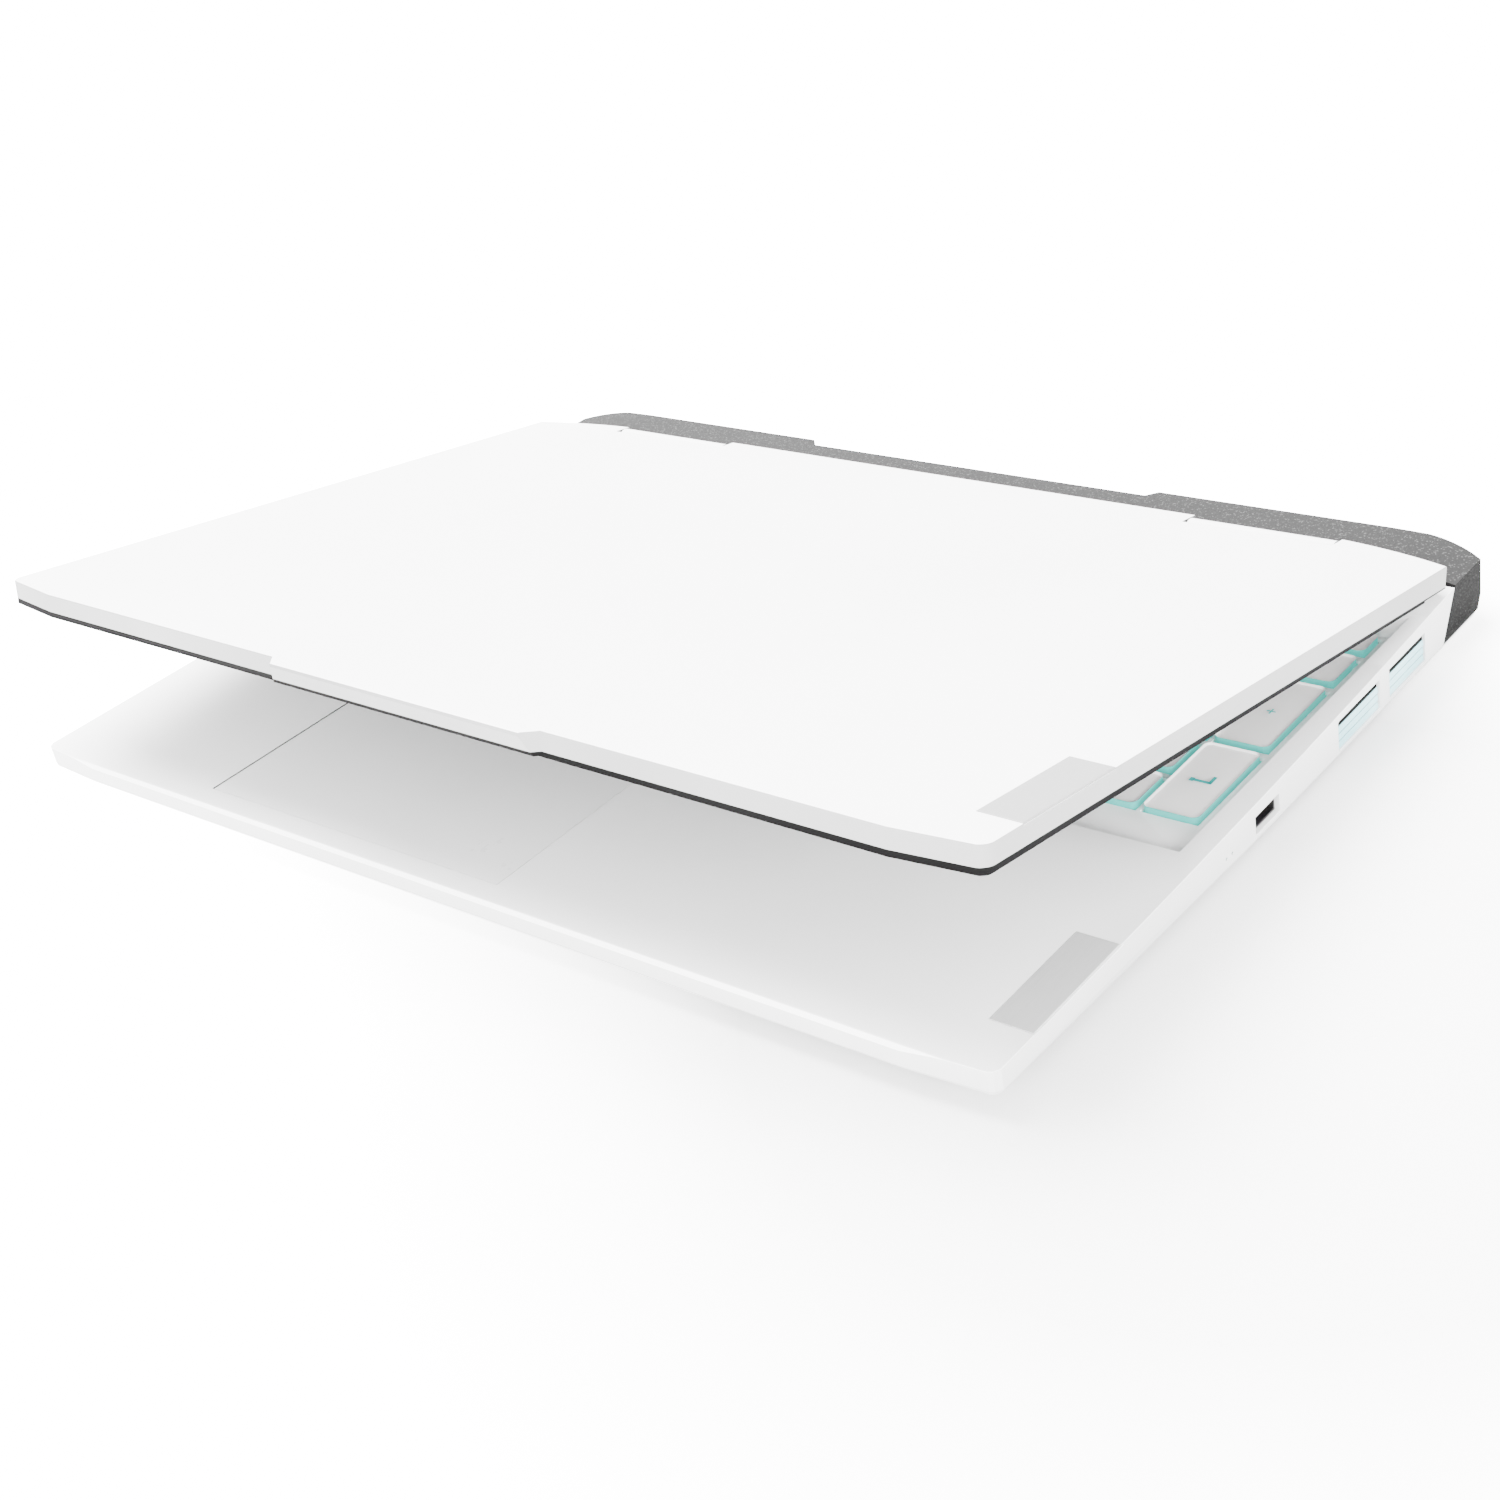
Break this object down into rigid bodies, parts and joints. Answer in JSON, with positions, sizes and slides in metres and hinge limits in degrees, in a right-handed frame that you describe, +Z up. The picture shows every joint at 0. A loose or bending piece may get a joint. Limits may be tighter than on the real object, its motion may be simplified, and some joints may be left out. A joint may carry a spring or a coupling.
{
  "type": "laptop computer",
  "caption": "White gaming laptop with its lid slightly raised, a full keyboard with number pad, side vents and a grey rear housing.",
  "frame": {"origin": "on the table plane, under the middle of the base", "axes": "+X towards the user's right, +Y from the front edge to the hinge, +Z up; stored with the lid 10.6 degrees open"},
  "size_m": [0.3596, 0.2664, 0.0698],
  "materials": {
    "white_case": "satin",
    "white_lid": "satin",
    "bottom_plastic": "textured matte",
    "grey_housing": "sparkled satin",
    "dark_grille": "matte",
    "vent_blue": "satin",
    "badge_metal": "brushed satin",
    "sheet_steel": "brushed",
    "membrane": "translucent",
    "battery_wrap": "matte wrap",
    "circuit_board": "solder mask",
    "drive_black": "solder mask",
    "copper": "satin copper",
    "fin_metal": "plain",
    "black_plastic": "matte",
    "socket_steel": "bright",
    "light_pipe": "translucent",
    "hinge_steel": "satin",
    "foot_rubber": "matte",
    "screw_black": "black zinc",
    "bezel_black": "fine grain",
    "display_glass": "anti-glare",
    "strip_plastic": "satin",
    "cable_black": "matte tape",
    "touchpad_surface": "fine satin",
    "button_plastic": "satin",
    "keycap": "soft matte"
  },
  "bodies": {
    "base": {"top_case": "white_case", "bottom_cover": "bottom_plastic", "rear_housing": "grey_housing", "exhaust_grilles": "dark_grille", "side_vent_right": "vent_blue", "side_vent_left": "vent_blue", "deck_badge": "badge_metal", "keyboard_plate": "sheet_steel", "key_membrane": "membrane", "touchpad_bracket": "sheet_steel", "battery": "battery_wrap", "motherboard": "circuit_board", "memory_modules": "circuit_board", "solid_state_drive": "drive_black", "wireless_card": "circuit_board", "heat_pipes": "copper", "fin_stacks": "fin_metal", "fan_housings": "black_plastic", "speakers": "black_plastic", "usb_a_sockets": "socket_steel", "usb_c_socket": "socket_steel", "headphone_jack": "black_plastic", "video_socket": "socket_steel", "network_socket": "black_plastic", "power_inlet": "black_plastic", "status_lights": "light_pipe", "hinge_barrels": "hinge_steel", "hinge_caps": "white_lid", "front_feet": "foot_rubber", "rear_foot": "foot_rubber", "bottom_screws": "screw_black"},
    "lid": {"lid_cover": "white_lid", "display_bezel": "bezel_black", "display_panel": "display_glass", "hinge_strip": "strip_plastic", "camera_module": "black_plastic", "lid_bumpers": "foot_rubber", "lid_badge": "badge_metal", "hinge_leaves": "hinge_steel", "display_cable": "cable_black"},
    "fan_rotor_right_body": {"fan_rotor_right": "black_plastic"},
    "fan_rotor_left_body": {"fan_rotor_left": "black_plastic"},
    "touchpad_body": {"touchpad": "touchpad_surface"},
    "power_button_body": {"power_button": "button_plastic"},
    "function_keys_body": {"function_keys": "keycap"},
    "number_keys_body": {"number_keys": "keycap"},
    "upper_letter_keys_body": {"upper_letter_keys": "keycap"},
    "home_keys_body": {"home_keys": "keycap"},
    "lower_letter_keys_body": {"lower_letter_keys": "keycap"},
    "bottom_keys_body": {"bottom_keys": "keycap"},
    "number_pad_keys_body": {"number_pad_keys": "keycap"},
    "space_bar_body": {"space_bar": "keycap"},
    "enter_key_body": {"enter_key": "keycap"},
    "backspace_key_body": {"backspace_key": "keycap"},
    "left_arrow_key_body": {"left_arrow_key": "keycap"},
    "right_arrow_key_body": {"right_arrow_key": "keycap"},
    "up_arrow_key_body": {"up_arrow_key": "keycap"},
    "down_arrow_key_body": {"down_arrow_key": "keycap"},
    "pad_enter_key_body": {"pad_enter_key": "keycap"},
    "pad_plus_key_body": {"pad_plus_key": "keycap"}
  },
  "joints": [
    {"name": "lid_hinge", "type": "hinge", "parent": "base", "child": "lid", "pos_m": [0, 0.1103, 0.021], "axis": [-1, 0, 0], "range_deg": [-9.7, 124]},
    {"name": "fan_rotor_right_spin", "type": "hinge", "parent": "base", "child": "fan_rotor_right_body", "pos_m": [0.1178, 0.0598, 0.005], "axis": [0, 0, 1], "continuous": true},
    {"name": "fan_rotor_left_spin", "type": "hinge", "parent": "base", "child": "fan_rotor_left_body", "pos_m": [-0.1178, 0.0598, 0.005], "axis": [0, 0, 1], "continuous": true},
    {"name": "touchpad_click", "type": "hinge", "parent": "base", "child": "touchpad_body", "pos_m": [-0.043, -0.04659, 0.0122], "axis": [1, 0, 0], "range_deg": [0, 0.5], "stiffness_Nm_per_rad": 5, "springref_deg": -0.23},
    {"name": "power_button_press", "type": "slide", "parent": "base", "child": "power_button_body", "axis": [0, 0, -1], "range_m": [0, 0.0006], "stiffness_N_per_m": 900, "springref_m": -0.0002},
    {"name": "function_keys_press", "type": "slide", "parent": "base", "child": "function_keys_body", "axis": [0, 0, -1], "range_m": [0, 0.0015], "stiffness_N_per_m": 7200, "springref_m": -0.0002},
    {"name": "number_keys_press", "type": "slide", "parent": "base", "child": "number_keys_body", "axis": [0, 0, -1], "range_m": [0, 0.0015], "stiffness_N_per_m": 5200, "springref_m": -0.0002},
    {"name": "upper_letter_keys_press", "type": "slide", "parent": "base", "child": "upper_letter_keys_body", "axis": [0, 0, -1], "range_m": [0, 0.0015], "stiffness_N_per_m": 5600, "springref_m": -0.0002},
    {"name": "home_keys_press", "type": "slide", "parent": "base", "child": "home_keys_body", "axis": [0, 0, -1], "range_m": [0, 0.0015], "stiffness_N_per_m": 4800, "springref_m": -0.0002},
    {"name": "lower_letter_keys_press", "type": "slide", "parent": "base", "child": "lower_letter_keys_body", "axis": [0, 0, -1], "range_m": [0, 0.0015], "stiffness_N_per_m": 4800, "springref_m": -0.0002},
    {"name": "bottom_keys_press", "type": "slide", "parent": "base", "child": "bottom_keys_body", "axis": [0, 0, -1], "range_m": [0, 0.0015], "stiffness_N_per_m": 2400, "springref_m": -0.0002},
    {"name": "number_pad_keys_press", "type": "slide", "parent": "base", "child": "number_pad_keys_body", "axis": [0, 0, -1], "range_m": [0, 0.0015], "stiffness_N_per_m": 6000, "springref_m": -0.0002},
    {"name": "space_bar_press", "type": "slide", "parent": "base", "child": "space_bar_body", "axis": [0, 0, -1], "range_m": [0, 0.0015], "stiffness_N_per_m": 400, "springref_m": -0.0002},
    {"name": "enter_key_press", "type": "slide", "parent": "base", "child": "enter_key_body", "axis": [0, 0, -1], "range_m": [0, 0.0015], "stiffness_N_per_m": 400, "springref_m": -0.0002},
    {"name": "backspace_key_press", "type": "slide", "parent": "base", "child": "backspace_key_body", "axis": [0, 0, -1], "range_m": [0, 0.0015], "stiffness_N_per_m": 400, "springref_m": -0.0002},
    {"name": "left_arrow_key_press", "type": "slide", "parent": "base", "child": "left_arrow_key_body", "axis": [0, 0, -1], "range_m": [0, 0.0015], "stiffness_N_per_m": 400, "springref_m": -0.0002},
    {"name": "right_arrow_key_press", "type": "slide", "parent": "base", "child": "right_arrow_key_body", "axis": [0, 0, -1], "range_m": [0, 0.0015], "stiffness_N_per_m": 400, "springref_m": -0.0002},
    {"name": "up_arrow_key_press", "type": "slide", "parent": "base", "child": "up_arrow_key_body", "axis": [0, 0, -1], "range_m": [0, 0.0015], "stiffness_N_per_m": 400, "springref_m": -0.0002},
    {"name": "down_arrow_key_press", "type": "slide", "parent": "base", "child": "down_arrow_key_body", "axis": [0, 0, -1], "range_m": [0, 0.0015], "stiffness_N_per_m": 400, "springref_m": -0.0002},
    {"name": "pad_enter_key_press", "type": "slide", "parent": "base", "child": "pad_enter_key_body", "axis": [0, 0, -1], "range_m": [0, 0.0015], "stiffness_N_per_m": 400, "springref_m": -0.0002},
    {"name": "pad_plus_key_press", "type": "slide", "parent": "base", "child": "pad_plus_key_body", "axis": [0, 0, -1], "range_m": [0, 0.0015], "stiffness_N_per_m": 400, "springref_m": -0.0002}
  ]
}
